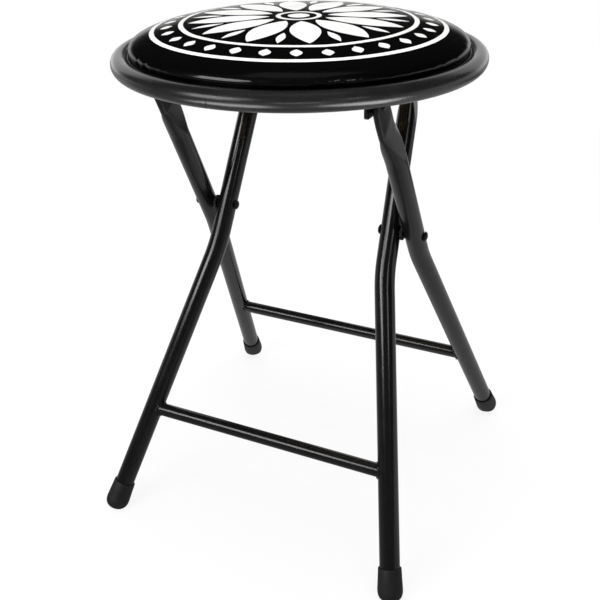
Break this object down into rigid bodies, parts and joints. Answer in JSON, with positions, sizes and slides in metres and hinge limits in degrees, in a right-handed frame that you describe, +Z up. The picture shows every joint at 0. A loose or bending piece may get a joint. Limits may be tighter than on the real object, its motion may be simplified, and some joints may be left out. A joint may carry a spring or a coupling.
{
  "type": "folding stool",
  "caption": "Round padded folding stool: crossed tube legs riveted at the crossing, rubber foot tips, and a seat in a tube rim that hinges at the front.",
  "frame": {"origin": "on the floor under the middle of the stool's outline, when it stands open", "axes": "+Z up, +Y from the seat hinge to the catch bar, +X from the left legs to the right legs"},
  "size_m": [0.3326, 0.341, 0.4661],
  "materials": {
    "frame_coat": "semi-gloss black powder coat",
    "rim_coat": "semi-gloss black powder coat",
    "tip_rubber": "matte black rubber",
    "black_plastic": "satin black plastic",
    "rivet_steel": "blackened steel",
    "screw_steel": "blackened steel",
    "seat_vinyl": "glossy black vinyl",
    "pad_foam": "matte foam",
    "board_wood": "raw board"
  },
  "bodies": {
    "outer_frame": {"outer_leg_left": "frame_coat", "outer_leg_right": "frame_coat", "outer_crossbar": "frame_coat", "outer_foot_left": "tip_rubber", "outer_foot_right": "tip_rubber", "pivot_rivet_left": "rivet_steel", "pivot_rivet_right": "rivet_steel", "pivot_spacer_left": "black_plastic", "pivot_spacer_right": "black_plastic", "hinge_rivet_left": "rivet_steel", "hinge_rivet_right": "rivet_steel", "hinge_washer_left": "black_plastic", "hinge_washer_right": "black_plastic"},
    "inner_frame": {"inner_leg_left": "frame_coat", "inner_leg_right": "frame_coat", "inner_crossbar": "frame_coat", "inner_foot_left": "tip_rubber", "inner_foot_right": "tip_rubber", "catch_bar": "frame_coat"},
    "seat": {"seat_rim": "rim_coat", "front_strap": "rim_coat", "rear_strap": "rim_coat", "hinge_bracket_left": "rim_coat", "hinge_bracket_right": "rim_coat", "catch_block_left": "black_plastic", "catch_block_right": "black_plastic", "bracket_screw_left_front": "screw_steel", "bracket_screw_left_rear": "screw_steel", "bracket_screw_right_front": "screw_steel", "bracket_screw_right_rear": "screw_steel", "catch_screw_left_front": "screw_steel", "catch_screw_left_rear": "screw_steel", "catch_screw_right_front": "screw_steel", "catch_screw_right_rear": "screw_steel", "seat_board": "board_wood", "seat_foam": "pad_foam", "seat_cover": "seat_vinyl"}
  },
  "joints": [
    {"name": "leg_fold", "type": "hinge", "parent": "outer_frame", "child": "inner_frame", "pos_m": [0, -0.00494, 0.28391], "axis": [1, 0, 0], "range_deg": [0, 54]},
    {"name": "seat_fold", "type": "hinge", "parent": "outer_frame", "child": "seat", "pos_m": [0, -0.08246, 0.4212], "axis": [1, 0, 0], "range_deg": [0, 108]}
  ],
  "couplings": [
    {"joint": "seat_fold", "follows": "leg_fold", "ratio": 2}
  ]
}
